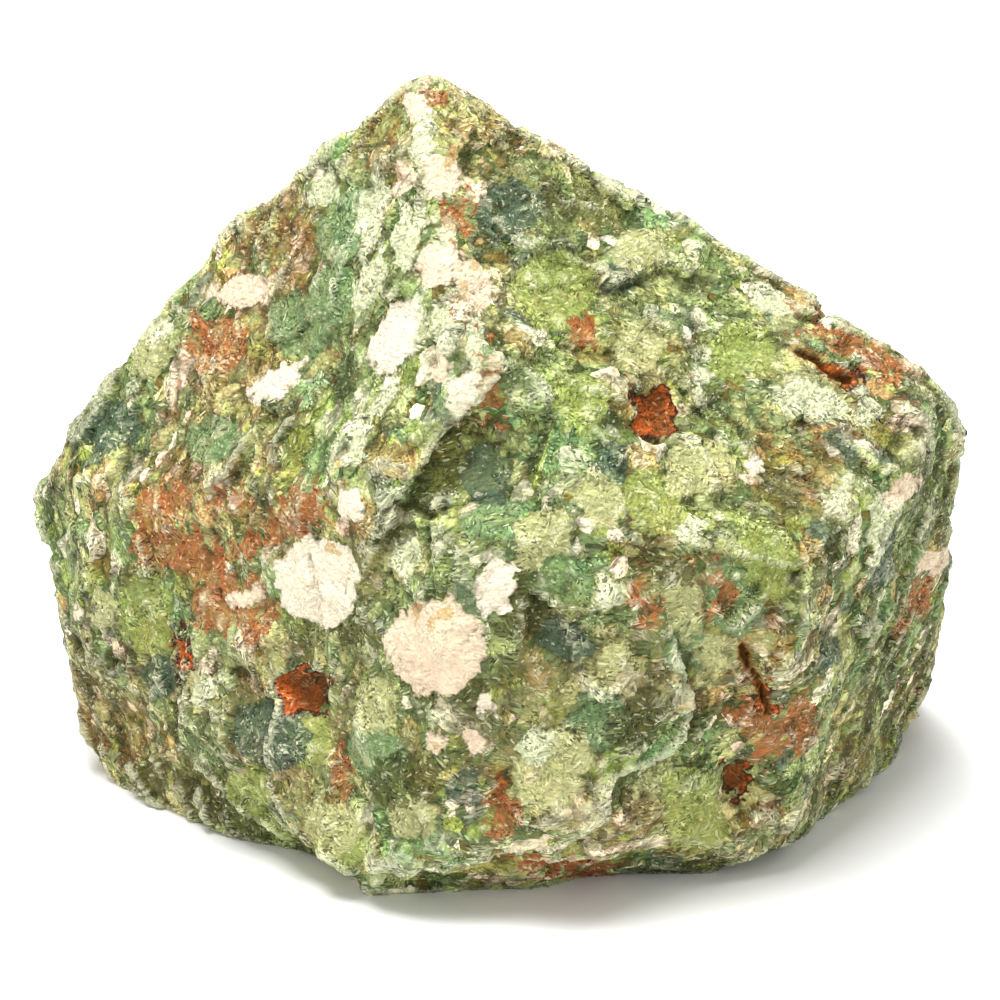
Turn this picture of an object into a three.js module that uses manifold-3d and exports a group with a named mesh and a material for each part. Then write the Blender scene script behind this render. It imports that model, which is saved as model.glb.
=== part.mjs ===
// A broken hand specimen of green rhyolite: one angular stone with a peak, two slopes that meet
// in a ridge, a spall scar under the ridge, a proud slab on the front and a flat to rest on.
// Millimetres, +Z up, the front of the stone faces -Y, origin under the middle of the stone.

import * as THREE from 'three';
import { ImprovedNoise } from 'three/addons/math/ImprovedNoise.js';
import { mergeVertices } from 'three/addons/utils/BufferGeometryUtils.js';
import Module from 'manifold-3d';

// A plane is named by the compass of its outward normal, in degrees to the right of the front and
// degrees above the horizon, and by a point that it passes through.

// The fracture faces that close the stone.
const PEAK = [-8, 2.5, 70];
const FACES = [
  // The two slopes under the peak, and the blunt top.
  { facing: [-45, 25], through: PEAK },
  { facing: [30, 42], through: PEAK },
  { facing: [-30, 80], through: [-8, 2.5, 68.8] },
  // The front: a middle, a left and a right facet, then the chamfer under the lip.
  { facing: [-5, 4], through: [-8, -20.5, 24] },
  { facing: [-36, 5], through: [-24, -6.5, 30] },
  { facing: [17, -3], through: [17, -20, 33] },
  { facing: [8, -40], through: [0, -19, 7] },
  // The right side, from the corner of the slope to the back.
  { facing: [55, -7], through: [39.5, 0.5, 40.3] },
  { facing: [92, -3], through: [40.3, 8, 30] },
  { facing: [84, -32], through: [40, 11, 6] },
  { facing: [60, -12], through: [32.2, 3.5, 0] },
  { facing: [35, -44], through: [24, -6.5, 0] },
  // The left side.
  { facing: [-58, 2], through: [-36, 3, 30] },
  { facing: [-86, -13], through: [-42.3, 12, 23] },
  { facing: [-80, -42], through: [-37.4, 10, 2] },
  { facing: [-57, -25], through: [-32.2, 2, 0] },
  // The back, from the two crests down.
  { facing: [-155, 36], through: [-20.2, 7.2, 55.8] },
  { facing: [-130, 30], through: [-27.2, 8.5, 48.2] },
  { facing: [150, 40], through: [4, 2.2, 63.6] },
  { facing: [150, 31], through: [25, 2.2, 51] },
  { facing: [-118, 12], through: [-41, 14, 24] },
  { facing: [122, 10], through: [39, 16, 26] },
  { facing: [176, 4], through: [2, 36, 22] },
  { facing: [-172, -40], through: [0, 29, 5] },
  // The flat.
  { facing: [0, -90], through: [0, 0, 0] },
];

// Bites out of those faces. A bite takes what lies outside all of its planes at once.
const BITES = [
  // The spall scar under the foot of the ridge.
  [
    { facing: [6, -6], through: [-0.5, -15.5, 51] },
    { facing: [-50, 25], through: [7, -19, 43] },
    { facing: [-4, 48], through: [-2, -20.5, 35.5] },
  ],
  // The set-back block low on the right of the front.
  [
    { facing: [24, -8], through: [18, -15.3, 12] },
    { facing: [65, -30], through: [11.6, -20.5, 16.8] },
    { facing: [30, -70], through: [20, -18, 21.5] },
  ],
  // The set-back foot low on the left.
  [
    { facing: [-27, -12], through: [-20, -6.2, 0] },
    { facing: [-75, -45], through: [-21, -12, 7.5] },
  ],
  // The hollow on the left edge of the slab, above the foot.
  [
    { facing: [-45, -8], through: [-29, -2.5, 12] },
    { facing: [-90, -8], through: [-27.8, -6, 14] },
    { facing: [-20, -60], through: [-31, -3, 20] },
  ],
  // A step across the right of the back, below the crest.
  [
    { facing: [146, 33], through: [8, 14, 43.5] },
    { facing: [-168, -42], through: [8, 14, 47] },
  ],
  // A spall low on the left of the back.
  [
    { facing: [-140, -5], through: [-24, 24, 12] },
    { facing: [-120, -60], through: [-26, 24, 21] },
  ],
];

// Angular pits where soft grains fell out: the middle, and the half width along each axis.
const PITS = [
  { at: [12.9, -12.2, 45.1], half: [2.9, 2.8, 2.7] },
  { at: [-16.9, -12.9, 19.2], half: [3.3, 2.8, 2.6] },
  { at: [-28, -6, 19.5], half: [1.8, 2.8, 3.6] },
  { at: [20.2, -14, 11.3], half: [1.9, 2, 2.2] },
];

// The surface is redrawn in triangles of about one size, then worn and roughened.
const LONGEST_EDGE = 4;
const LONGEST_FLAT_EDGE = 12;
const EVENING_ROUNDS = 4;
const FLAT_COSINE = 0.9999;
const ANGLE_SLACK = 0.001;
const WEAR_ROUNDS = 2;
const WEAR_SHARE = 0.3;
const ROUGHNESS = [
  { cell: 9, height: 1.2 },
  { cell: 3.7, height: 0.55 },
];
const FLAT_HEIGHT = 0.01;
const BLOCK_SIZE = 400;

const RADIANS = Math.PI / 180;
const UP = new THREE.Vector3(0, 0, 1);

const wasm = await Module();
wasm.setup();

function solidOf(geometry) {
  geometry.deleteAttribute('normal');
  geometry.deleteAttribute('uv');
  const merged = mergeVertices(geometry);
  return new wasm.Manifold(new wasm.Mesh({
    numProp: 3,
    vertProperties: merged.attributes.position.array,
    triVerts: new Uint32Array(merged.index.array),
  }));
}

// Everything on the outer side of a plane, as far as the block reaches.
function outside({ facing: [azimuth, elevation], through }) {
  const level = Math.cos(elevation * RADIANS);
  const normal = new THREE.Vector3(
    Math.sin(azimuth * RADIANS) * level,
    -Math.cos(azimuth * RADIANS) * level,
    Math.sin(elevation * RADIANS),
  );
  const block = new THREE.BoxGeometry(BLOCK_SIZE, BLOCK_SIZE, BLOCK_SIZE);
  block.translate(0, 0, BLOCK_SIZE / 2);
  block.applyQuaternion(new THREE.Quaternion().setFromUnitVectors(UP, normal));
  block.translate(...through);
  return solidOf(block);
}

function brokenStone() {
  const block = solidOf(new THREE.BoxGeometry(BLOCK_SIZE / 2, BLOCK_SIZE / 2, BLOCK_SIZE / 2));
  const hull = FACES.reduce((stone, face) => stone.subtract(outside(face)), block);
  const bitten = BITES.reduce((stone, bite) => {
    const [first, ...others] = bite.map(outside);
    return stone.subtract(others.reduce((whole, half) => whole.intersect(half), first));
  }, hull);
  return PITS.reduce((stone, { at, half }) => {
    const grain = new THREE.IcosahedronGeometry(1);
    return stone.subtract(solidOf(grain.scale(...half).translate(...at)));
  }, bitten);
}

// The edges of a list of triangles, each with the triangles on its two sides.
function edgesOf(triangles) {
  const edges = new Map();
  triangles.forEach((corners, side) => {
    for (let k = 0; k < 3; k++) {
      const a = corners[k];
      const b = corners[(k + 1) % 3];
      const key = a < b ? `${a},${b}` : `${b},${a}`;
      if (edges.has(key)) edges.get(key).sides.push(side);
      else edges.set(key, { a, b, sides: [side] });
    }
  });
  return [...edges.values()];
}

// A triangle's corners in order, starting with the corner across from an edge.
function fromAcross(corners, { a, b }) {
  const k = corners.findIndex((corner) => corner !== a && corner !== b);
  return [corners[k], corners[(k + 1) % 3], corners[(k + 2) % 3]];
}

function normalOf(points, [a, b, c]) {
  const ab = points[b].clone().sub(points[a]);
  const ac = points[c].clone().sub(points[a]);
  return ab.cross(ac).normalize();
}

// Halves the longest edges first, until every edge is short enough. The flat keeps longer ones.
function halveLongEdges(points, triangles) {
  const onFlat = (side) => triangles[side].every((corner) => points[corner].z < FLAT_HEIGHT);
  for (;;) {
    const long = edgesOf(triangles)
      .map((edge) => ({ ...edge, length: points[edge.a].distanceTo(points[edge.b]) }))
      .filter((edge) => edge.length > (edge.sides.every(onFlat) ? LONGEST_FLAT_EDGE : LONGEST_EDGE))
      .sort((one, other) => other.length - one.length);
    if (!long.length) return;
    const cut = new Set();
    for (const edge of long) {
      if (edge.sides.some((side) => cut.has(side))) continue;
      const middle = points.push(points[edge.a].clone().lerp(points[edge.b], 0.5)) - 1;
      for (const side of edge.sides) {
        const [across, start, end] = fromAcross(triangles[side], edge);
        triangles[side] = [across, start, middle];
        triangles.push([across, middle, end]);
        cut.add(side);
      }
    }
  }
}

function angleAt(points, corner, a, b) {
  return points[a].clone().sub(points[corner]).angleTo(points[b].clone().sub(points[corner]));
}

// Turns the shared edge of two triangles of one facet where that makes both fuller.
function turnEdges(points, triangles) {
  const turned = new Set();
  for (const edge of edgesOf(triangles)) {
    const [one, other] = edge.sides;
    if (turned.has(one) || turned.has(other)) continue;
    const [top, start, end] = fromAcross(triangles[one], edge);
    const [bottom] = fromAcross(triangles[other], edge);
    const sum = angleAt(points, top, start, end) + angleAt(points, bottom, start, end);
    if (sum < Math.PI + ANGLE_SLACK) continue;
    const flat = normalOf(points, triangles[one]).dot(normalOf(points, triangles[other]));
    if (flat < FLAT_COSINE) continue;
    triangles[one] = [top, start, bottom];
    triangles[other] = [top, bottom, end];
    turned.add(one).add(other);
  }
  return turned.size;
}

function neighboursOf(points, triangles) {
  const neighbours = points.map(() => new Set());
  for (const corners of triangles) {
    corners.forEach((corner, k) => neighbours[corner].add(corners[(k + 1) % 3]));
  }
  return neighbours;
}

function meanOf(points, indices) {
  const mean = new THREE.Vector3();
  for (const index of indices) mean.add(points[index]);
  return mean.divideScalar(indices.size);
}

// Moves the points inside a facet to the middle of their neighbours, where no triangle folds over.
function evenFacets(points, triangles) {
  const normals = triangles.map((corners) => normalOf(points, corners));
  const sides = points.map(() => []);
  triangles.forEach((corners, side) => corners.forEach((corner) => sides[corner].push(side)));
  const neighbours = neighboursOf(points, triangles);
  points.forEach((point, i) => {
    const normal = normals[sides[i][0]];
    if (sides[i].some((side) => normals[side].dot(normal) < FLAT_COSINE)) return;
    const before = point.clone();
    point.copy(meanOf(points, neighbours[i]));
    const folded = sides[i].some((side) => normalOf(points, triangles[side]).dot(normal) < FLAT_COSINE);
    if (folded) point.copy(before);
  });
}

// Blunts the edges: every point goes part of the way to the middle of its neighbours.
function wear(points, triangles) {
  const neighbours = neighboursOf(points, triangles);
  const means = neighbours.map((indices) => meanOf(points, indices));
  means.forEach((mean, i) => points[i].lerp(mean, WEAR_SHARE));
}

const noise = new ImprovedNoise();
const AXIS_SHIFTS = [0, 31.7, 57.3];

// A smooth push in all three directions, so that faces, edges and walls all waver.
function roughen(point) {
  const push = new THREE.Vector3();
  for (const { cell, height } of ROUGHNESS) {
    const [x, y, z] = AXIS_SHIFTS.map((shift) => height * noise.noise(
      point.x / cell + shift,
      point.y / cell + shift,
      point.z / cell - shift,
    ));
    push.add(new THREE.Vector3(x, y, z));
  }
  point.add(push);
}

function stoneGeometry() {
  const mesh = brokenStone().getMesh();
  const points = [];
  for (let i = 0; i < mesh.vertProperties.length; i += mesh.numProp) {
    points.push(new THREE.Vector3().fromArray(mesh.vertProperties, i));
  }
  const triangles = [];
  for (let i = 0; i < mesh.triVerts.length; i += 3) {
    triangles.push([...mesh.triVerts.slice(i, i + 3)]);
  }
  halveLongEdges(points, triangles);
  for (let round = 0; round < EVENING_ROUNDS; round++) {
    while (turnEdges(points, triangles) > 0);
    evenFacets(points, triangles);
  }
  const onFlat = points.map((point) => point.z < FLAT_HEIGHT);
  for (let round = 0; round < WEAR_ROUNDS; round++) wear(points, triangles);
  points.forEach((point, i) => {
    roughen(point);
    point.z = onFlat[i] ? 0 : Math.max(point.z, FLAT_HEIGHT);
  });
  const geometry = new THREE.BufferGeometry().setFromPoints(points);
  geometry.setIndex(triangles.flat());
  geometry.computeVertexNormals();
  geometry.computeBoundingBox();
  const { min, max } = geometry.boundingBox;
  geometry.translate(-(min.x + max.x) / 2, -(min.y + max.y) / 2, 0);
  return geometry;
}

const stone = new THREE.Mesh(
  stoneGeometry(),
  new THREE.MeshStandardMaterial({ color: 0x8f9a6c, roughness: 0.85, metalness: 0 }),
);
stone.name = 'stone';

const group = new THREE.Group();
group.add(stone);

export default group;
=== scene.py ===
"""A broken piece of green rhyolite, dressed for a studio photograph.

The faceted solid gives the form. A fine skin replaces it: the same surface with the fracture
steps, grains, cracks and cavities, and a solid mosaic of rock fragments for its colour, with
painted shade in its recesses and dips.
Lengths are in millimetres unless a comment says otherwise.
"""

import math

import bmesh
import bpy
import numpy as np
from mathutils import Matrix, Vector
from mathutils.bvhtree import BVHTree


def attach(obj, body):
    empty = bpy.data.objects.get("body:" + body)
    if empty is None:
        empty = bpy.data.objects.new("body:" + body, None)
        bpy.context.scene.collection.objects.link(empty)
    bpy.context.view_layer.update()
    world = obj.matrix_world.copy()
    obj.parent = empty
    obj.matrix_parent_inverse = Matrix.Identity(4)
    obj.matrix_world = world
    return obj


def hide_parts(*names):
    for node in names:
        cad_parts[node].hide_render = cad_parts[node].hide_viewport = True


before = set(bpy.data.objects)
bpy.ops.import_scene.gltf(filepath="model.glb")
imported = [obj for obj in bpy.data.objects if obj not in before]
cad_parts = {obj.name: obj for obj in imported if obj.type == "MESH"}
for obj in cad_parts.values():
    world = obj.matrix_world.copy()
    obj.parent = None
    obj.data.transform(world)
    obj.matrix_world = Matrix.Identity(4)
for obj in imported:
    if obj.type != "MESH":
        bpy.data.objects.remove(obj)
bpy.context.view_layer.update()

MM = 0.001

# The photograph's camera, with its near clip in metres
PHOTO_SIZE = 1000
FOCAL_PIXELS = 4851
CAMERA_ELEVATION = math.radians(25)
CAMERA_DISTANCE = 420
CAMERA_TARGET = np.array([0.8, -7.5, 31.0])
SENSOR = 36
NEAR_CLIP = 0.05

# The fine skin: its voxels, the gap in metres under which points are one, and how often and how
# far each point is evened towards its neighbours
VOXEL = 0.475
MERGE_DISTANCE = 1e-6
EVEN_ROUNDS = 3
EVEN_SHARE = 0.5

# The underside: what is this low and faces down this much is flat, and the relief fades out
# around it in this many rounds
BASE_HEIGHT = 0.4
FACES_DOWN = -0.7
BASE_ROUNDS = 4

# Rounds of evening after which what still stands out is a fine ridge or a broad edge
RIDGE_ROUNDS = 30
EDGE_ROUNDS = 200

# The foliation of the rock: its fragments are flattened along this direction
FOLIATION = Vector((0.12, -1.0, 0.14)).normalized()
FLATTENING = 2.2

# Felt of crystals: their length and width
FELT_LENGTH, FELT_WIDTH = 0.75, 0.18

# Noises: size, detail and roughness
BROAD_NOISE = (9, 2.0, 0.5)
GRAIN_NOISE = (1.3, 3.0, 0.65)
GRIT_NOISE = (0.5, 1.0, 0.7)
WANDER_NOISE = (2.0, 1.0, 0.65)
RAG_NOISE = (1.5, 2.0, 0.65)
AREA_NOISE = (13, 1.0, 0.5)

# Relief: the heights of lumps, grains and grit, then the sizes and tilts of the fracture faces
BROAD_HEIGHT = 0.45
GRAIN_HEIGHT = 0.13
GRIT_HEIGHT = 0.4
BREAK_SIZES = ((7.0, 0.1), (3.2, 0.1), (1.7, 0.1))

# The step between fragments, the groove along their borders, and how much smoother the palest are
FRAGMENT_STEP = 0.16
FRAGMENT_GROOVE = 0.06
BORDER_WIDTH = 0.6
PALE_SMOOTHNESS = 0.45

# Fragments: typical size, how far their outline wanders, and a shift between the sizes
LARGE_FRAGMENTS = (6.0, 1.7, 0)
MIDDLE_FRAGMENTS = (3.0, 1.1, 10)
SMALL_FRAGMENTS = (1.3, 0.5, 20)

# The directions of the shifts, and the first shift of the fracture faces
FRAGMENT_DRIFT = (1.0, 0.7, 1.3)
BREAK_DRIFT = (1.0, -1.0, 0.5)
FIRST_BREAK_DRIFT = 3

# Single fragments and patches of painted shade that are seen in the photograph: pixel centre, pixel
# size, turn in degrees
SEEN = {
    "cream": (
        ((318, 582), (86, 92), 0), ((493, 588), (42, 56), 0), ((462, 392), (26, 50), -15),
        ((393, 340), (40, 86), -25), ((350, 505), (36, 30), 30), ((275, 382), (60, 30), 30),
        ((755, 465), (24, 20), 0), ((486, 706), (16, 22), 0),
    ),
    "rose": (
        ((434, 648), (104, 100), 0), ((442, 176), (44, 40), -30), ((435, 264), (40, 44), 10),
        ((474, 284), (34, 56), 25), ((414, 104), (24, 30), 0), ((435, 742), (22, 24), 0),
        ((474, 741), (22, 26), 0), ((245, 600), (36, 22), 20), ((436, 370), (22, 44), -20),
        ((905, 490), (20, 46), -60), ((240, 290), (64, 30), 10), ((938, 560), (20, 60), -70),
    ),
    "pale": (
        ((700, 470), (84, 60), 0), ((545, 530), (60, 50), 0), ((405, 557), (46, 50), 0),
        ((610, 592), (34, 44), 10), ((528, 550), (30, 42), 0), ((613, 660), (32, 44), -15),
        ((373, 705), (48, 56), 0), ((684, 605), (38, 76), 10), ((552, 770), (70, 96), -35),
        ((640, 250), (60, 46), 30), ((600, 500), (50, 60), 20), ((330, 830), (60, 60), 0),
        ((720, 655), (44, 40), 0), ((100, 610), (34, 50), 0), ((200, 690), (40, 44), 0),
        ((410, 820), (50, 50), 0), ((640, 345), (50, 60), -20),
    ),
    "bright": (
        ((424, 140), (26, 60), -15), ((448, 235), (20, 60), -15), ((476, 350), (18, 80), -8),
        ((455, 400), (24, 60), 15), ((810, 400), (80, 42), -15), ((868, 412), (36, 28), 20),
        ((372, 212), (30, 80), -15), ((407, 235), (30, 70), -10), ((368, 280), (28, 70), -25),
        ((415, 320), (22, 70), -10), ((440, 330), (24, 60), 10), ((702, 375), (18, 44), 0),
        ((384, 400), (20, 60), -20), ((360, 440), (22, 50), -25), ((770, 300), (50, 30), -30),
        ((610, 592), (26, 36), 10), ((405, 557), (34, 38), 0), ((880, 520), (16, 90), -15),
        ((320, 190), (26, 44), -30), ((160, 330), (30, 24), 20), ((205, 690), (26, 30), 0),
        ((535, 745), (30, 40), -30), ((840, 500), (20, 60), -25), ((690, 530), (30, 30), 0),
    ),
    "teal": (
        ((485, 475), (52, 62), 0), ((110, 425), (58, 48), 10), ((612, 465), (38, 50), 0),
        ((625, 275), (42, 34), 30), ((510, 210), (70, 56), 20), ((565, 640), (60, 46), -20),
        ((270, 735), (80, 70), 0), ((155, 680), (40, 50), 0), ((830, 655), (30, 34), 0),
        ((880, 560), (30, 60), -20), ((660, 870), (70, 26), 0), ((465, 790), (40, 40), 0),
    ),
    "mint": (
        ((300, 325), (64, 68), 0), ((345, 225), (54, 88), -20), ((375, 755), (68, 62), 0),
        ((735, 600), (60, 80), 0), ((600, 720), (60, 60), 0), ((500, 520), (70, 44), 0),
        ((210, 440), (60, 50), 20), ((330, 300), (40, 90), -20), ((690, 650), (50, 60), 0),
    ),
    "lime": (
        ((145, 615), (58, 84), 0), ((555, 290), (90, 80), 10), ((740, 350), (70, 60), 30),
        ((690, 520), (50, 40), 0), ((310, 740), (46, 60), 20), ((340, 850), (70, 50), 20),
        ((650, 500), (60, 70), 20), ((770, 560), (60, 90), 20), ((250, 790), (50, 60), 0),
        ((580, 400), (60, 60), 0), ((690, 800), (60, 60), 0), ((700, 830), (60, 50), 0),
    ),
    "rust": (
        ((160, 505), (60, 40), 20), ((165, 545), (70, 50), 0), ((205, 565), (60, 40), -30),
        ((250, 545), (80, 26), 25), ((295, 515), (60, 46), 30), ((215, 600), (50, 70), -15),
        ((250, 610), (60, 60), 20), ((225, 500), (50, 20), 0), ((215, 345), (60, 60), 20),
        ((425, 95), (50, 26), 10), ((460, 212), (34, 50), -10), ((505, 815), (36, 50), 15),
        ((565, 865), (90, 28), 0), ((760, 730), (40, 70), 20), ((860, 350), (110, 26), -32),
        ((915, 600), (30, 60), -20), ((645, 605), (22, 50), 20), ((720, 600), (22, 50), -10),
        ((175, 655), (22, 44), 15), ((490, 390), (24, 70), 10), ((800, 720), (40, 60), 20),
        ((340, 770), (20, 40), 20), ((585, 330), (30, 46), 10),
    ),
    "ground": (
        ((440, 650), (330, 250), 0), ((620, 650), (190, 170), 0), ((540, 190), (150, 60), -35),
        # The spot at (916, 520) darkens the right side: partly its own streaks and rust, partly
        # painted shade
        ((250, 760), (190, 120), -20), ((916, 520), (50, 200), 0),
    ),
    # Painted shade: in the recess by the crest, under the lips, ledges and base, and on the side
    # turned from the light, where it also makes dark streaks
    "shade": (
        ((440, 470), (44, 120), -25), ((395, 520), (40, 50), -30), ((497, 345), (20, 90), -6),
        ((480, 255), (12, 70), -20), ((463, 160), (12, 60), -25), ((500, 425), (24, 50), 10),
        ((660, 560), (70, 30), -30), ((520, 610), (50, 60), 0), ((400, 780), (90, 50), 10),
        ((610, 800), (60, 40), 30), ((180, 700), (16, 60), 0), ((110, 690), (14, 100), 5),
        ((560, 200), (60, 30), -30), ((350, 620), (40, 50), 0), ((700, 870), (90, 24), 5),
        ((240, 830), (120, 24), -25), ((830, 560), (20, 90), -20), ((900, 640), (14, 90), -15),
        ((790, 620), (12, 60), 0), ((642, 776), (60, 14), 35), ((692, 738), (34, 14), 60),
        ((704, 702), (12, 44), 0), ((606, 818), (14, 44), -20), ((640, 720), (70, 50), 40),
        ((870, 700), (20, 80), -20), ((470, 700), (40, 50), 0), ((196, 790), (70, 22), -35),
        ((150, 780), (50, 40), -30), ((90, 660), (16, 90), 5), ((925, 470), (14, 90), 0),
        ((942, 530), (12, 80), 0), ((928, 620), (14, 90), 5),
    ),
    "deep": (
        ((572, 868), (86, 26), 0), ((540, 860), (36, 16), 0), ((300, 520), (10, 10), 0),
        ((205, 345), (16, 20), 0), ((592, 318), (18, 24), 0), ((505, 802), (12, 26), 15),
    ),
    "stain": (
        ((414, 612), (14, 18), 0), ((444, 613), (16, 16), 0), ((430, 625), (10, 12), 0),
        ((463, 292), (8, 60), -20), ((455, 150), (10, 40), -30), ((330, 548), (10, 12), 0),
        ((437, 744), (10, 10), 0),
    ),
    "cavity": (
        ((655, 412), (44, 48), 20), ((302, 692), (54, 42), -10), ((736, 777), (24, 34), 0),
        ((178, 655), (22, 50), 5), ((840, 372), (44, 16), -35), ((762, 690), (16, 40), 20),
    ),
}

# Fragments guessed on the sides that the photograph doesn't show: azimuth and elevation from the
# stone's heart, with 0 in front and 90 at the right, and their radius
HEART = (0.0, 0.0, 28.0)
UNSEEN = {
    "cream": ((166, 14, 3.8), (207, 34, 2.4), (114, -6, 2.6), (239, 6, 2.3), (158, -38, 2.6),
              (140, 48, 1.7), (226, -34, 1.8), (128, -24, 1.6), (176, 30, 1.4)),
    "rose": ((147, -14, 2.8), (215, -6, 3.3), (188, 52, 1.9), (98, 24, 2.0), (186, -32, 2.2)),
    "pale": ((138, 26, 3.0), (192, 2, 3.8), (232, 26, 3.2), (172, -26, 3.2), (108, -22, 2.8),
             (206, 18, 2.6), (254, -10, 2.8), (160, 56, 2.8), (96, 6, 2.6), (272, 26, 2.6),
             (200, -40, 3.2), (136, -42, 3.0), (222, 52, 2.4), (120, 40, 2.8), (244, -36, 2.8)),
    "teal": ((176, 40, 2.8), (206, -24, 3.4), (130, 8, 3.2), (224, 14, 2.8), (156, -2, 2.8),
             (92, -8, 2.6), (264, 10, 2.8), (190, 66, 2.4), (116, 20, 2.4), (146, -30, 3.0)),
    "mint": ((182, 20, 4.2), (134, 40, 3.6), (212, 4, 3.4), (100, -12, 3.6), (246, 20, 3.6),
             (160, -24, 3.6), (216, -42, 3.2), (200, 56, 3.0)),
    "lime": ((158, 30, 3.8), (196, -14, 4.0), (220, 42, 3.6), (122, -4, 3.6), (142, -22, 3.4),
             (240, -14, 3.4), (176, -42, 3.6), (172, 60, 2.8)),
    "rust": ((172, 2, 3.0), (201, 24, 3.8), (112, 12, 3.4), (236, 20, 3.2), (160, -18, 3.0),
             (182, 60, 2.8), (212, -32, 3.0), (128, 30, 2.4)),
    # On these sides the shade spots are plain dark patches in the painted shade's colour
    "shade": ((178, 8, 3.6), (148, 16, 3.4), (210, -14, 3.4), (122, 26, 3.2), (250, 2, 3.2),
              (186, -22, 3.2), (164, 44, 3.0), (132, -34, 3.2)),
    "cavity": ((196, 12, 1.7), (140, 2, 1.5), (219, -20, 1.5)),
}

# The kinds that have a dark outline, and the smooth kinds
OUTLINED = ("cream", "rose", "pale", "bright", "teal", "mint", "lime")
SMOOTH = ("cream", "rose")

# Open cracks: pixel points along each, its width and depth
CRACKS = (
    (((796, 350), (818, 358), (832, 372), (850, 380)), 0.5, 0.6),
    (((742, 645), (748, 668), (762, 690), (766, 712)), 0.32, 0.5),
)

# Ledges: pixel points along each, how much its left side stands over the right, and how far
LEDGES = (
    (((471, 856), (520, 846), (560, 842), (594, 826), (617, 777), (655, 757), (683, 737),
      (691, 716), (693, 691), (683, 660)), 1.5, 3.5),
    (((170, 640), (181, 690), (178, 745), (208, 784), (249, 817), (280, 835), (330, 880)), 0.9, 3.5),
    (((505, 375), (470, 415), (440, 440), (408, 490), (385, 540)), -0.9, 3.0),
    (((890, 440), (850, 520), (800, 572), (700, 548), (620, 545)), -0.5, 3.0),
)

# How deep the rusty cavities are, and how far each reaches past its spot
CAVITY_DEPTH = 0.6
CAVITY_MARGIN = 0.2

# The relief fades towards the peak, down to this share of it
PEAK_REACH, PEAK_SHARE = 6.0, 0.2

# How deep a seen spot goes beside its larger radius, and how far behind the seen surface a crack
# still cuts
SPOT_DEPTH = 2.5
CRACK_BACK = 3.0

# A distance at which no spot or crack has any effect
OUT_OF_REACH = 3.0

# How far ragged outlines run in and out
RAG_REACH = 2.6
CAVITY_RAG_REACH = 4.5
RUST_RAG_REACH = 5.0
CRACK_RAG_REACH = 1.2


def srgb(red, green, blue):
    """A colour given as 0 to 255 screen values, as the linear colour that a shader takes."""
    def linear(value):
        share = value / 255
        return share / 12.92 if share <= 0.04045 else ((share + 0.055) / 1.055) ** 2.4
    return (linear(red), linear(green), linear(blue), 1.0)


class Graph:
    """Short calls that add nodes to one tree. Shader and geometry trees share these nodes."""

    def __init__(self, tree):
        self.tree = tree

    def node(self, kind, **settings):
        made = self.tree.nodes.new(kind)
        for name, value in settings.items():
            setattr(made, name, value)
        return made

    def put(self, socket, value):
        if isinstance(value, bpy.types.NodeSocket):
            self.tree.links.new(value, socket)
        else:
            socket.default_value = value

    def math(self, operation, first, second=0.0, third=0.0, clamp=False):
        made = self.node("ShaderNodeMath", operation=operation, use_clamp=clamp)
        for socket, value in zip(made.inputs, (first, second, third)):
            self.put(socket, value)
        return made.outputs[0]

    def vector(self, operation, first, second=None, scale=None):
        made = self.node("ShaderNodeVectorMath", operation=operation)
        self.put(made.inputs[0], first)
        if second is not None:
            self.put(made.inputs[1], second)
        if scale is not None:
            self.put(made.inputs["Scale"], scale)
        return made.outputs["Value" if operation == "DOT_PRODUCT" else "Vector"]

    def centred(self, value):
        """A number from 0 to 1 as one from -0.5 to 0.5."""
        return self.math("SUBTRACT", value, 0.5)

    def centred_vector(self, value):
        """The same for each part of a vector."""
        return self.vector("SUBTRACT", value, (0.5, 0.5, 0.5))

    def noise(self, place, size, detail, roughness, output="Fac"):
        made = self.node("ShaderNodeTexNoise")
        self.put(made.inputs["Vector"], place)
        self.put(made.inputs["Scale"], 1 / size)
        self.put(made.inputs["Detail"], detail)
        self.put(made.inputs["Roughness"], roughness)
        return made.outputs[output]

    def cells(self, place, feature="F1"):
        made = self.node("ShaderNodeTexVoronoi", feature=feature)
        self.put(made.inputs["Vector"], place)
        self.put(made.inputs["Scale"], 1.0)
        return made.outputs

    def parts(self, vector):
        made = self.node("ShaderNodeSeparateXYZ")
        self.put(made.inputs[0], vector)
        return made.outputs

    def span(self, value, low, high, to_low, to_high):
        """A smooth step from one value to another, while the given value runs from low to high."""
        made = self.node("ShaderNodeMapRange", interpolation_type="SMOOTHSTEP")
        for name, number in zip(("Value", "From Min", "From Max", "To Min", "To Max"),
                                (value, low, high, to_low, to_high)):
            self.put(made.inputs[name], number)
        return made.outputs["Result"]

    def mix(self, share, first, second):
        made = self.node("ShaderNodeMix", data_type="RGBA")
        colours = [socket for socket in made.inputs if socket.type == "RGBA"]
        self.put(made.inputs["Factor"], share)
        self.put(colours[0], first)
        self.put(colours[1], second)
        return next(socket for socket in made.outputs if socket.type == "RGBA")

    def tinted(self, colour, tint, value, step):
        """The colour turned towards a tint, by a smooth step of a value."""
        return self.mix(self.span(value, *step), colour, tint)

    def steps(self, value, stops):
        """The colour of the last stop that the value has passed. A stop is a position and a colour."""
        made = self.node("ShaderNodeValToRGB")
        made.color_ramp.interpolation = "CONSTANT"
        elements = made.color_ramp.elements
        while len(elements) < len(stops):
            elements.new(1.0)
        for index, (position, colour) in enumerate(stops):
            elements[index].position = position
            elements[index].color = colour
        self.put(made.inputs[0], value)
        return made.outputs["Color"]

    def ramp(self, value, colours):
        """The colours in equal steps from 0 to 1."""
        return self.steps(value, [
            (index / len(colours), colour) for index, colour in enumerate(colours)
        ])

    def attribute(self, name, output="Fac"):
        return self.node("ShaderNodeAttribute", attribute_name=name).outputs[output]


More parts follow.
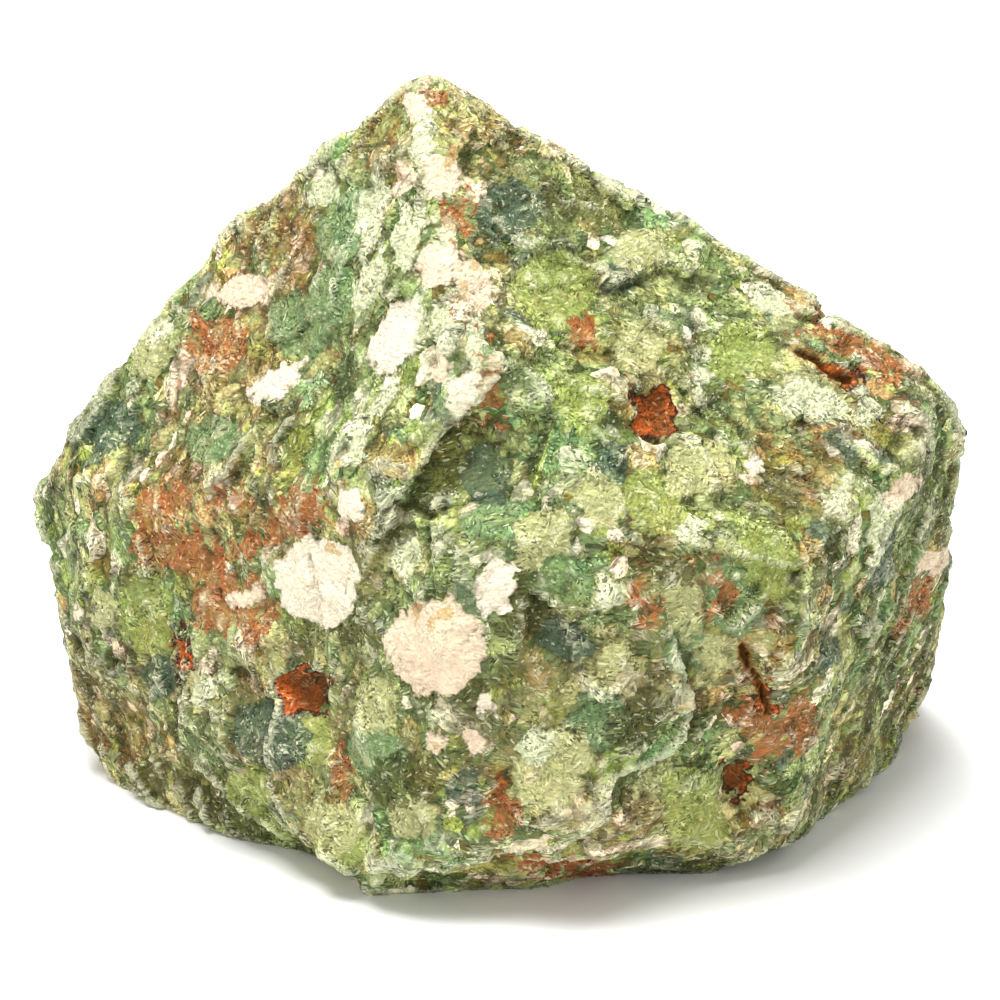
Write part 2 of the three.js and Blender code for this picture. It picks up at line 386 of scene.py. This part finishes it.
def flattened(graph, place):
    """The place stretched along the foliation, so that what is round there is flat in the stone."""
    along = graph.vector("DOT_PRODUCT", place, tuple(FOLIATION))
    extra = graph.math("MULTIPLY", along, FLATTENING - 1)
    return graph.vector("ADD", place, graph.vector("SCALE", tuple(FOLIATION), scale=extra))


def wandering(graph, place):
    """The way that outlines wander, as a vector about 1 long, shared by all sizes of fragment."""
    shake = graph.noise(place, *WANDER_NOISE, "Color")
    return graph.vector("SCALE", graph.centred_vector(shake), scale=2.0)


def fragments(graph, place, shake, kind):
    """Where a place lies among the fragments of one size, in units of that size."""
    size, wander, drift = kind
    moved = graph.vector("ADD", place, graph.vector("SCALE", shake, scale=wander))
    moved = graph.vector("SCALE", flattened(graph, moved), scale=1 / size)
    return graph.vector("ADD", moved, tuple(drift * part for part in FRAGMENT_DRIFT))


def broken_faces(graph, place, size, tilt, drift):
    """Height of small fracture faces, each tilted its own way, with steps between them."""
    moved = graph.vector("SCALE", flattened(graph, place), scale=1 / size)
    moved = graph.vector("ADD", moved, tuple(drift * part for part in BREAK_DRIFT))
    cells = graph.cells(moved)
    lean = graph.centred_vector(cells["Color"])
    reach = graph.vector("SUBTRACT", moved, cells["Position"])
    height = graph.vector("DOT_PRODUCT", lean, reach)
    return graph.math("MULTIPLY", height, 2 * tilt * size)


def relief_height(graph, place):
    """The height of the skin over the faceted solid."""
    broad = graph.centred(graph.noise(place, *BROAD_NOISE))
    height = graph.math("MULTIPLY", broad, 2 * BROAD_HEIGHT)
    for drift, (size, tilt) in enumerate(BREAK_SIZES, FIRST_BREAK_DRIFT):
        height = graph.math("ADD", height, broken_faces(graph, place, size, tilt, drift))
    shake = wandering(graph, place)
    for kind in (LARGE_FRAGMENTS, MIDDLE_FRAGMENTS):
        inside = fragments(graph, place, shake, kind)
        step = graph.centred(graph.parts(graph.cells(inside)["Color"])[2])
        height = graph.math("MULTIPLY_ADD", step, FRAGMENT_STEP, height)
    grain = graph.centred(graph.noise(place, *GRAIN_NOISE))
    return graph.math("MULTIPLY_ADD", grain, 2 * GRAIN_HEIGHT, height)


def fragment_borders(graph, place):
    """How near the border of a large fragment is: 1 on it, 0 from BORDER_WIDTH away."""
    inside = fragments(graph, place, wandering(graph, place), LARGE_FRAGMENTS)
    distance = graph.cells(inside, "DISTANCE_TO_EDGE")["Distance"]
    return graph.span(distance, 0.0, BORDER_WIDTH / LARGE_FRAGMENTS[0], 1.0, 0.0)


def raggedness(graph, place):
    """How ragged outlines run in and out, about -0.3 to 0.3."""
    return graph.centred(graph.noise(place, *RAG_NOISE))


def wide_areas(graph, place):
    """The slow change from greener to warmer rock."""
    return graph.noise(place, *AREA_NOISE)


def large_chance(graph, place):
    """The random triple of the large fragment at each place."""
    return graph.cells(fragments(graph, place, wandering(graph, place), LARGE_FRAGMENTS))["Color"]


def camera_axes():
    """The camera's place, and its right, up and forward directions."""
    sine, cosine = math.sin(CAMERA_ELEVATION), math.cos(CAMERA_ELEVATION)
    forward = np.array([0.0, cosine, -sine])
    up = np.array([0.0, sine, cosine])
    return CAMERA_TARGET - CAMERA_DISTANCE * forward, np.array([1.0, 0.0, 0.0]), up, forward


def make_camera():
    place = camera_axes()[0]
    data = bpy.data.cameras.new("camera")
    data.sensor_width = SENSOR
    data.lens = FOCAL_PIXELS / PHOTO_SIZE * SENSOR
    data.clip_start = NEAR_CLIP
    camera = bpy.data.objects.new("camera", data)
    camera.location = place * MM
    camera.rotation_euler = (math.pi / 2 - CAMERA_ELEVATION, 0, 0)
    bpy.context.scene.collection.objects.link(camera)
    bpy.context.scene.camera = camera


def to_pixels(points):
    """Pixel across, pixel down and distance along the view of each point."""
    place, right, up, forward = camera_axes()
    reach = points - place
    depth = reach @ forward
    across = PHOTO_SIZE / 2 + FOCAL_PIXELS * (reach @ right) / depth
    down = PHOTO_SIZE / 2 - FOCAL_PIXELS * (reach @ up) / depth
    return across, down, depth


def on_surface(tree, pixel):
    """The point of the surface that is seen at a pixel."""
    place, right, up, forward = camera_axes()
    across = (pixel[0] - PHOTO_SIZE / 2) / FOCAL_PIXELS
    down = (pixel[1] - PHOTO_SIZE / 2) / FOCAL_PIXELS
    direction = forward + across * right - down * up
    hit = tree.ray_cast(Vector(place), Vector(direction))[0]
    return np.array(hit) if hit is not None else None


def keep_largest_shell(mesh):
    """Takes out the specks that the remesh can leave inside the stone."""
    work = bmesh.new()
    work.from_mesh(mesh)
    waiting = set(work.verts)
    shells = []
    while waiting:
        front = [waiting.pop()]
        shell = list(front)
        while front:
            point = front.pop()
            for edge in point.link_edges:
                other = edge.other_vert(point)
                if other in waiting:
                    waiting.remove(other)
                    shell.append(other)
                    front.append(other)
        shells.append(shell)
    shells.sort(key=len)
    specks = [point for shell in shells[:-1] for point in shell]
    bmesh.ops.delete(work, geom=specks, context="VERTS")
    work.to_mesh(mesh)
    work.free()


def fine_mesh(node):
    """The node's surface as an even, closed mesh of small faces."""
    work = bmesh.new()
    work.from_mesh(node.data)
    bmesh.ops.remove_doubles(work, verts=work.verts, dist=MERGE_DISTANCE)
    merged = bpy.data.meshes.new("merged")
    work.to_mesh(merged)
    work.free()
    skin = bpy.data.objects.new("stone_skin", merged)
    bpy.context.scene.collection.objects.link(skin)
    modifier = skin.modifiers.new("remesh", "REMESH")
    modifier.mode = "VOXEL"
    modifier.voxel_size = VOXEL * MM
    settled = bpy.context.evaluated_depsgraph_get()
    fine = bpy.data.meshes.new_from_object(skin.evaluated_get(settled))
    keep_largest_shell(fine)
    skin.modifiers.clear()
    skin.data = fine
    return skin


def points_of(mesh):
    values = np.zeros(len(mesh.vertices) * 3, np.float32)
    mesh.vertices.foreach_get("co", values)
    return values.reshape(-1, 3).astype(float) / MM


def move_points(mesh, points):
    mesh.vertices.foreach_set("co", (points * MM).astype(np.float32).ravel())
    mesh.update()


def normals_of(mesh):
    values = np.zeros(len(mesh.vertices) * 3, np.float32)
    mesh.vertices.foreach_get("normal", values)
    return values.reshape(-1, 3).astype(float)


def edges_of(mesh):
    values = np.zeros(len(mesh.edges) * 2, np.int32)
    mesh.edges.foreach_get("vertices", values)
    return values.reshape(-1, 2)


def evened(values, edges, rounds):
    """Values that each move towards the mean of their neighbours' values."""
    count = np.bincount(edges.ravel(), minlength=len(values))
    for _ in range(rounds):
        mean = np.stack([
            np.bincount(edges[:, 0], column[edges[:, 1]], len(values))
            + np.bincount(edges[:, 1], column[edges[:, 0]], len(values))
            for column in values.T
        ], axis=1) / count[:, None]
        values = values + EVEN_SHARE * (mean - values)
    return values


def keep_values(mesh, name, values):
    """Stores a number or a vector for each point, for the shader to read."""
    single = values.ndim == 1
    kind, field = ("FLOAT", "value") if single else ("FLOAT_VECTOR", "vector")
    layer = mesh.attributes.new(name, kind, "POINT")
    layer.data.foreach_set(field, values.astype(np.float32).ravel())


def seen_field(points, tree, spots):
    """How far, in mm, each point is inside the nearest of the spots: under 0 is outside."""
    across, down, depth = to_pixels(points)
    inside = np.full(len(points), -OUT_OF_REACH)
    for (u, v), (width, height), turn in spots:
        hit = on_surface(tree, (u, v))
        if hit is None:
            continue
        hit_depth = to_pixels(hit[None])[2][0]
        scale = hit_depth / FOCAL_PIXELS
        angle = math.radians(turn)
        right, rise = (across - u) * scale, (v - down) * scale
        along = right * math.cos(angle) + rise * math.sin(angle)
        beside = rise * math.cos(angle) - right * math.sin(angle)
        half_width, half_height = width * scale / 2, height * scale / 2
        deep = SPOT_DEPTH * max(half_width, half_height)
        distance = np.sqrt((along / half_width) ** 2 + (beside / half_height) ** 2
                           + ((depth - hit_depth) / deep) ** 2)
        inside = np.maximum(inside, (1 - distance) * min(half_width, half_height))
    return inside


def unseen_field(points, tree, spots):
    """The same for spots that are given by their direction from the stone's heart."""
    inside = np.full(len(points), -OUT_OF_REACH)
    for azimuth, elevation, radius in spots:
        around, above = math.radians(azimuth), math.radians(elevation)
        level = math.cos(above)
        direction = (math.sin(around) * level, -math.cos(around) * level, math.sin(above))
        hit = tree.ray_cast(Vector(HEART), Vector(direction))[0]
        inside = np.maximum(inside, radius - np.linalg.norm(points - np.array(hit), axis=1))
    return inside


def spot_fields(points, tree):
    """How far each point is inside the nearest spot of each kind."""
    fields = {kind: seen_field(points, tree, spots) for kind, spots in SEEN.items()}
    for kind, spots in UNSEEN.items():
        fields[kind] = np.maximum(fields[kind], unseen_field(points, tree, spots))
    return fields


def stretches(tree, pixels):
    """Each stretch of a line of pixels, with the points of the surface under its two ends."""
    for start, end in zip(pixels, pixels[1:]):
        first, last = on_surface(tree, start), on_surface(tree, end)
        if first is not None and last is not None:
            yield np.array(start, float), np.array(end, float), first, last


def ledge_field(points, tree):
    """How much the ledges lift or lower each point."""
    across, down, _ = to_pixels(points)
    total = np.zeros(len(points))
    for pixels, height, reach in LEDGES:
        nearest = np.full(len(points), np.inf)
        side = np.zeros(len(points))
        for start, end, first, last in stretches(tree, pixels):
            line = last - first
            share = np.clip((points - first) @ line / (line @ line), 0, 1)
            away = np.linalg.norm(points - first - share[:, None] * line, axis=1)
            step = end - start
            turn = step[1] * (across - start[0]) - step[0] * (down - start[1])
            closer = away < nearest
            nearest = np.where(closer, away, nearest)
            side = np.where(closer, np.sign(turn), side)
        total += side * height / 2 * np.exp(-((nearest / reach) ** 2))
    return total


def crack_field(points, tree, rag):
    """How deep the open cracks are at each point, and how much of their stain it has."""
    depth, stain = np.zeros(len(points)), np.zeros(len(points))
    across, down, far = to_pixels(points)
    picture = np.stack([across, down], axis=1)
    for pixels, width, deep in CRACKS:
        for start, end, first, last in stretches(tree, pixels):
            start_far, end_far = to_pixels(np.array([first, last]))[2]
            line = end - start
            share = np.clip((picture - start) @ line / (line @ line), 0, 1)
            away = np.linalg.norm(picture - start - share[:, None] * line, axis=1)
            away = away * start_far / FOCAL_PIXELS + CRACK_RAG_REACH * rag
            behind = np.abs(far - start_far - share * (end_far - start_far))
            away = np.where(behind < CRACK_BACK, away, OUT_OF_REACH)
            depth = np.maximum(depth, deep * np.exp(-((2 * away / width) ** 2)))
            stain = np.maximum(stain, np.exp(-((away / width) ** 2)))
    return depth, stain


def field_values(skin, build, kind="FLOAT"):
    """The values that a node recipe gives at the skin's points."""
    tree = bpy.data.node_groups.new("field", "GeometryNodeTree")
    for direction in ("INPUT", "OUTPUT"):
        tree.interface.new_socket("Geometry", in_out=direction, socket_type="NodeSocketGeometry")
    graph = Graph(tree)
    place = graph.vector("SCALE", graph.node("GeometryNodeInputPosition").outputs[0], scale=1 / MM)
    store = graph.node("GeometryNodeStoreNamedAttribute", data_type=kind, domain="POINT")
    graph.put(store.inputs["Geometry"], graph.node("NodeGroupInput").outputs[0])
    graph.put(store.inputs["Name"], "field")
    graph.put(store.inputs["Value"], build(graph, place))
    graph.put(graph.node("NodeGroupOutput").inputs[0], store.outputs[0])
    modifier = skin.modifiers.new("field", "NODES")
    modifier.node_group = tree
    settled = bpy.context.evaluated_depsgraph_get()
    layer = skin.evaluated_get(settled).data.attributes["field"]
    single = kind == "FLOAT"
    values = np.zeros(len(layer.data) * (1 if single else 3), np.float32)
    layer.data.foreach_get("value" if single else "vector", values)
    skin.modifiers.clear()
    return values.astype(float) if single else values.astype(float).reshape(-1, 3)


def border_field(skin, fields, rag):
    """How near each point is to a border: of a spot, or elsewhere of a large fragment."""
    nearest = np.max([fields[kind] + RAG_REACH * rag for kind in OUTLINED], axis=0)
    mosaic = field_values(skin, fragment_borders) * (1 - np.clip(nearest / BORDER_WIDTH, 0, 1))
    return np.maximum(mosaic, np.exp(-((2 * nearest / BORDER_WIDTH) ** 2)))


def relief_share(points, flat, edges):
    """How much of the relief each point takes: none on the underside, little at the peak."""
    share = evened(1.0 - flat[:, None], edges, BASE_ROUNDS)[:, 0]
    from_peak = np.linalg.norm(points - points[points[:, 2].argmax()], axis=1)
    return share * np.clip(from_peak / PEAK_REACH, PEAK_SHARE, 1)


def make_skin():
    """The stone's skin: evened form, then relief, ledges, cavities and cracks along its normals."""
    skin = fine_mesh(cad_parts["stone"])
    mesh = skin.data
    edges = edges_of(mesh)
    points = points_of(mesh)
    resting = points[:, 2] < BASE_HEIGHT
    points = evened(points, edges, EVEN_ROUNDS)
    move_points(mesh, points)
    normals = normals_of(mesh)
    flat = resting & (normals[:, 2] < FACES_DOWN)
    points[flat, 2] = 0
    move_points(mesh, points)
    faces = [tuple(face.vertices) for face in mesh.polygons]
    tree = BVHTree.FromPolygons([Vector(point) for point in points], faces)

    fields = spot_fields(points, tree)
    rag = field_values(skin, raggedness)
    border = border_field(skin, fields, rag)
    crack_depth, crack_stain = crack_field(points, tree, rag)
    cavity = fields["cavity"] + CAVITY_RAG_REACH * rag + CAVITY_MARGIN
    hollow = np.clip(cavity, 0, 1) * CAVITY_DEPTH
    pale = np.max([fields[kind] for kind in SMOOTH], axis=0) + RAG_REACH * rag
    height = field_values(skin, relief_height)
    height = height * (1 - PALE_SMOOTHNESS * np.clip(pale, 0, 1))
    height = height - FRAGMENT_GROOVE * border
    lift = height + ledge_field(points, tree) - hollow - crack_depth
    lift = lift * relief_share(points, flat, edges)

    for kind, values in fields.items():
        keep_values(mesh, kind, values)
    keep_values(mesh, "place", points)
    keep_values(mesh, "border", border)
    keep_values(mesh, "crack", crack_stain)
    keep_values(mesh, "area", field_values(skin, wide_areas))
    keep_values(mesh, "shake", field_values(skin, wandering, "FLOAT_VECTOR"))
    keep_values(mesh, "large", field_values(skin, large_chance, "FLOAT_VECTOR"))

    moved = points + normals * lift[:, None]
    moved[:, 2] = np.maximum(moved[:, 2], 0)
    move_points(mesh, moved)
    for name, rounds in (("ridge", RIDGE_ROUNDS), ("edge", EDGE_ROUNDS)):
        level = evened(moved, edges, rounds)
        keep_values(mesh, name, ((moved - level) * normals).sum(axis=1))
    for face in mesh.polygons:
        face.use_smooth = True
    return skin


# Colours of the fragments
DARK_GREEN = srgb(72, 88, 44)
GREY_GREEN = srgb(112, 126, 84)
BLUE_GREY = srgb(104, 118, 100)
TEAL = srgb(66, 86, 68)
MINT = srgb(108, 138, 90)
LIME = srgb(146, 158, 78)
SAGE = srgb(142, 152, 98)
OLIVE = srgb(112, 100, 48)
PALE = srgb(174, 174, 118)
BRIGHT = srgb(200, 204, 164)
CREAM = srgb(238, 224, 198)
ROSE = srgb(230, 206, 176)
TAN = srgb(188, 156, 100)

# Colours of the matrix, the painted shade in recesses and dips, and the rust
GROUND = srgb(98, 108, 62)
PAINTED_SHADE = srgb(68, 70, 26)
RUST = srgb(158, 98, 52)
BROWN_RUST = srgb(140, 80, 38)
DEEP_RUST = srgb(186, 92, 34)
DARK_RUST = srgb(62, 34, 14)
FIBRE_LIGHT = srgb(220, 220, 184)
FIBRE_DARK = srgb(44, 47, 14)

# Casts over wide areas, as a share of each colour channel
GREEN_CAST = (0.9, 1.0, 0.88, 1)
WARM_CAST = (1.12, 1.0, 0.95, 1)

# The mosaic's colours for equal parts of a fragment's chance
SMALL_COLOURS = (
    DARK_GREEN, GREY_GREEN, SAGE, PALE, OLIVE, GREY_GREEN, DARK_GREEN, LIME, CREAM, SAGE,
)
MIDDLE_COLOURS = (
    SAGE, DARK_GREEN, LIME, PALE, GREY_GREEN, MINT, CREAM, OLIVE, PALE, TAN, BLUE_GREY, SAGE,
)
LARGE_COLOURS = (MINT, LIME, DARK_GREEN, PALE, SAGE, GREY_GREEN, OLIVE, PALE)

# The chance over which a larger fragment shows over the smaller ones, and how strongly
MIDDLE_SHOWN = (0.35, 0.7)
LARGE_SHOWN = (0.6, 0.55)

# The kinds of spot in the order in which they cover each other: colour, strength, and how far
# their ragged outlines run in and out
SPOT_LOOKS = (
    ("ground", GROUND, 0.45, RUST_RAG_REACH),
    ("mint", MINT, 0.7, RAG_REACH),
    ("lime", LIME, 0.7, RAG_REACH),
    ("teal", TEAL, 0.8, RAG_REACH),
    ("pale", PALE, 0.8, RAG_REACH),
    ("bright", BRIGHT, 0.85, RAG_REACH),
    # Painted shade
    ("shade", PAINTED_SHADE, 0.75, RUST_RAG_REACH),
    ("rust", RUST, 0.85, RUST_RAG_REACH),
    ("cream", CREAM, 0.93, RAG_REACH),
    ("rose", ROSE, 0.93, RAG_REACH),
    ("stain", TAN, 0.8, RAG_REACH),
    ("deep", BROWN_RUST, 0.9, RUST_RAG_REACH),
)

# Half the width of a spot's soft edge
SPOT_EDGE = 0.12

# Smooth steps: the values between which each runs, and what it gives at the two ends
SMALL_TONE = (0.0, 1.0, 0.95, 1.5)
WARM_AREA = (0.38, 0.6, 0.0, 1.0)
SOAKED_AREA = (0.54, 0.68, 0.0, 1.0)
SOAKED_EDGE = (0.35, 0.75, 0.25, 1.0)
MIDDLE_SEAM = (0.5, 0.85, 0.0, 0.65)
SMALL_SEAM = (0.45, 0.85, 0.0, 0.55)
CAVITY_RIM = (-0.2, 0.0, 0.0, 1.0)
CAVITY_FLOOR = (0.1, 0.5, 0.0, 1.0)
PALE_RIDGE = (0.25, 0.65, 0.0, 0.5)
PALE_EDGE = (0.8, 1.6, 0.0, 0.25)
FLECKED = (0.1, 0.9, 0.45, 1.15)
# Painted shade, darker where the surface dips
PAINTED_DIP_SHADE = (0.05, -0.45, 0.0, 0.65)
DARK_BORDER = (0.8, 1.5, 0.0, 0.5)
CRACK_STAIN = (0.02, 0.3, 0.0, 0.35)
CRACK_DARK = (0.35, 0.85, 0.0, 0.9)
FELT_ROUGHNESS = (0.3, 1.0, 0.85, 0.45)
CRACK_SHINE = (0.1, 0.3, 0.22, 0.0)

# How strong the soaked rust is, and how patchy the rusty spots are: the range and the least
SOAKED_STRENGTH = 0.6
PATCHY_RANGE, PATCHY_LEAST = 0.6, 0.6

# How much the felt and the raggedness roughen ridges, edges and borders
FELT_ON_RIDGE, RAG_ON_RIDGE = 0.3, 0.3
RAG_ON_EDGE = 1.3
FELT_ON_BORDER = 0.6

# Crystals of the felt: how light each is beside its fragment, and their share of all crystals
CRYSTALS = ((0.4, 0.14), (0.7, 0.2), (1.0, 0.34), (1.25, 0.16), (1.5, 0.11), (1.75, 0.05))

# Tones are divided by this in the colour ramp, which holds values up to 1
TONE_TOP = 2.0

# How much of the felt the smooth fragments lose, then the chance over which a crystal glints and
# how strongly
SMOOTH_LOSS = 0.7
GLINTS_FROM, GLINT_STRENGTH = 0.95, 0.38


def crystals(graph, place, cell):
    """The random triple of each crystal of the felt. In a fragment they all lie one way."""
    turn = graph.node("ShaderNodeVectorRotate", rotation_type="AXIS_ANGLE")
    graph.put(turn.inputs["Vector"], place)
    graph.put(turn.inputs["Axis"], graph.centred_vector(cell))
    graph.put(turn.inputs["Angle"], graph.math("MULTIPLY", graph.parts(cell)[0], 2 * math.pi))
    narrow = 1 / FELT_WIDTH
    stretched = graph.vector("MULTIPLY", turn.outputs[0], (1 / FELT_LENGTH, narrow, narrow))
    return graph.parts(graph.cells(stretched)["Color"])


def crystal_tone(graph, chance):
    """How light each crystal is beside its fragment."""
    stops, position = [], 0.0
    for tone, share in CRYSTALS:
        grey = tone / TONE_TOP
        stops.append((position, (grey, grey, grey, 1.0)))
        position += share
    return graph.math("MULTIPLY", graph.parts(graph.steps(chance, stops))[0], TONE_TOP)


def mosaic(graph, small, middle, large):
    """The colours of the small fragments, with some of the larger ones over them."""
    colour = graph.ramp(small[0], SMALL_COLOURS)
    for chance, colours, (least, strength) in (
        (middle, MIDDLE_COLOURS, MIDDLE_SHOWN), (large, LARGE_COLOURS, LARGE_SHOWN),
    ):
        shown = graph.math("GREATER_THAN", chance[1], least)
        share = graph.math("MULTIPLY", shown, strength)
        colour = graph.mix(share, colour, graph.ramp(chance[0], colours))
    return graph.vector("SCALE", colour, scale=graph.span(small[2], *SMALL_TONE))


def weathered(graph, colour, rag, small, middle):
    """A green or a warm cast over wide areas, rust soaked in along borders, and dark seams."""
    area = graph.attribute("area")
    cast = graph.tinted(GREEN_CAST, WARM_CAST, area, WARM_AREA)
    colour = graph.vector("MULTIPLY", colour, cast)
    soaked = graph.span(graph.math("ADD", area, rag), *SOAKED_AREA)
    soaked = graph.math("MULTIPLY", soaked, graph.span(middle["Distance"], *SOAKED_EDGE))
    colour = graph.mix(graph.math("MULTIPLY", soaked, SOAKED_STRENGTH), colour, RUST)
    colour = graph.tinted(colour, FIBRE_DARK, middle["Distance"], MIDDLE_SEAM)
    return graph.tinted(colour, FIBRE_DARK, small["Distance"], SMALL_SEAM)


def spotted(graph, colour, rag, chance):
    """The named spots, painted shade among them, and cavities over the colour, and how smooth the rock
    is.
    """
    smooth = 0.0
    patchy = graph.math("MULTIPLY_ADD", chance, PATCHY_RANGE, PATCHY_LEAST)
    for kind, tint, strength, reach in SPOT_LOOKS:
        inside = graph.math("MULTIPLY_ADD", rag, reach, graph.attribute(kind))
        share = graph.span(inside, -SPOT_EDGE, SPOT_EDGE, 0.0, strength)
        if kind == "rust":
            share = graph.math("MULTIPLY", share, patchy, clamp=True)
        colour = graph.mix(share, colour, tint)
        if kind in SMOOTH:
            smooth = graph.math("MAXIMUM", smooth, share)
    inside = graph.math("MULTIPLY_ADD", rag, CAVITY_RAG_REACH, graph.attribute("cavity"))
    colour = graph.tinted(colour, DARK_RUST, inside, CAVITY_RIM)
    return graph.tinted(colour, DEEP_RUST, inside, CAVITY_FLOOR), smooth


def felted(graph, colour, felt, chance, smooth):
    """The felt of crystals, fainter over the smooth fragments, and its glints."""
    left = graph.math("MULTIPLY_ADD", smooth, -SMOOTH_LOSS, 1.0)
    flecked = graph.math("MULTIPLY", graph.span(chance, *FLECKED), left)
    tone = graph.math("SUBTRACT", crystal_tone(graph, felt[0]), 1.0)
    tone = graph.math("MULTIPLY_ADD", tone, flecked, 1.0)
    colour = graph.vector("SCALE", colour, scale=tone)
    glint = graph.math("GREATER_THAN", felt[0], GLINTS_FROM)
    return graph.mix(graph.math("MULTIPLY", glint, GLINT_STRENGTH), colour, FIBRE_LIGHT)


def gritty(graph, place):
    """The finest grain of the rock, as a bump of its surface."""
    bump = graph.node("ShaderNodeBump")
    graph.put(bump.inputs["Strength"], 1.0)
    graph.put(bump.inputs["Distance"], GRIT_HEIGHT * MM)
    graph.put(bump.inputs["Height"], graph.noise(place, *GRIT_NOISE))
    return bump.outputs[0]


def stone_material():
    """The rock's material. The mosaic is fixed to the unmoved skin, and the felt to the final one."""
    material = bpy.data.materials.new("rhyolite")
    material.use_nodes = True
    graph = Graph(material.node_tree)
    shader = material.node_tree.nodes["Principled BSDF"]
    place = graph.attribute("place", "Vector")
    final_place = graph.node("ShaderNodeTexCoord").outputs["Object"]
    final_place = graph.vector("SCALE", final_place, scale=1 / MM)
    shake = graph.attribute("shake", "Vector")
    small = graph.cells(fragments(graph, place, shake, SMALL_FRAGMENTS))
    middle = graph.cells(fragments(graph, place, shake, MIDDLE_FRAGMENTS))
    small_chance = graph.parts(small["Color"])
    middle_chance = graph.parts(middle["Color"])
    large_parts = graph.parts(graph.attribute("large", "Vector"))
    rag = raggedness(graph, place)
    felt = crystals(graph, final_place, small["Color"])
    crack = graph.attribute("crack")

    colour = mosaic(graph, small_chance, middle_chance, large_parts)
    colour = weathered(graph, colour, rag, small, middle)
    colour, smooth = spotted(graph, colour, rag, small_chance[1])

    # Crushed pale edges under the felt, then painted shade in the dips, and dark borders and stained
    # cracks over it
    ridge = graph.math("MULTIPLY_ADD", felt[1], FELT_ON_RIDGE, graph.attribute("ridge"))
    ridge = graph.math("MULTIPLY_ADD", rag, RAG_ON_RIDGE, ridge)
    edge = graph.math("MULTIPLY_ADD", rag, RAG_ON_EDGE, graph.attribute("edge"))
    border = graph.math("MULTIPLY_ADD", felt[1], FELT_ON_BORDER, graph.attribute("border"))
    colour = graph.tinted(colour, FIBRE_LIGHT, ridge, PALE_RIDGE)
    colour = graph.tinted(colour, FIBRE_LIGHT, edge, PALE_EDGE)
    colour = felted(graph, colour, felt, middle_chance[2], smooth)
    colour = graph.tinted(colour, FIBRE_DARK, ridge, PAINTED_DIP_SHADE)
    colour = graph.tinted(colour, FIBRE_DARK, border, DARK_BORDER)
    colour = graph.tinted(colour, RUST, crack, CRACK_STAIN)
    colour = graph.tinted(colour, DARK_RUST, crack, CRACK_DARK)
    graph.put(shader.inputs["Base Color"], colour)
    graph.put(shader.inputs["Roughness"], graph.span(felt[1], *FELT_ROUGHNESS))
    graph.put(shader.inputs["Specular IOR Level"], graph.span(crack, *CRACK_SHINE))
    graph.put(shader.inputs["Normal"], gritty(graph, final_place))
    return material


# The floor: half its width in metres, its colour and its roughness
FLOOR_HALF = 4.0
FLOOR_COLOUR = (0.93, 0.93, 0.93, 1)
FLOOR_ROUGHNESS = 0.9

# The light that comes from all around
SURROUND_COLOUR = (1, 1, 1, 1)
SURROUND_STRENGTH = 0.67

# Two soft lamps: place and size in metres, power in watts, and the place that they are aimed at
LAMPS = (
    ("front", (-0.35, -0.8, 0.6), 0.5, 0.6),
    ("top", (-0.1, -0.12, 0.85), 0.4, 10.4),
)
LAMP_AIM = Vector((0, 0, 0.03))


def floor_material():
    material = bpy.data.materials.new("pale_floor")
    material.use_nodes = True
    shader = material.node_tree.nodes["Principled BSDF"]
    shader.inputs["Base Color"].default_value = FLOOR_COLOUR
    shader.inputs["Roughness"].default_value = FLOOR_ROUGHNESS
    return material


def make_floor():
    low, high = -FLOOR_HALF, FLOOR_HALF
    mesh = bpy.data.meshes.new("floor")
    corners = [(low, low, 0), (high, low, 0), (high, high, 0), (low, high, 0)]
    mesh.from_pydata(corners, [], [(0, 1, 2, 3)])
    mesh.materials.append(floor_material())
    floor = bpy.data.objects.new("floor", mesh)
    bpy.context.scene.collection.objects.link(floor)


def make_light():
    world = bpy.data.worlds.new("studio")
    world.use_nodes = True
    background = world.node_tree.nodes["Background"]
    background.inputs["Color"].default_value = SURROUND_COLOUR
    background.inputs["Strength"].default_value = SURROUND_STRENGTH
    bpy.context.scene.world = world
    for name, place, size, power in LAMPS:
        data = bpy.data.lights.new(name, "AREA")
        data.size = size
        data.energy = power
        lamp = bpy.data.objects.new(name, data)
        lamp.location = place
        lamp.rotation_euler = (LAMP_AIM - Vector(place)).to_track_quat("-Z", "Y").to_euler()
        bpy.context.scene.collection.objects.link(lamp)


make_camera()
make_floor()
make_light()
stone = make_skin()
stone.data.materials.clear()
stone.data.materials.append(stone_material())
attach(stone, "root")
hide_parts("stone")
bpy.context.scene.view_settings.view_transform = "Standard"
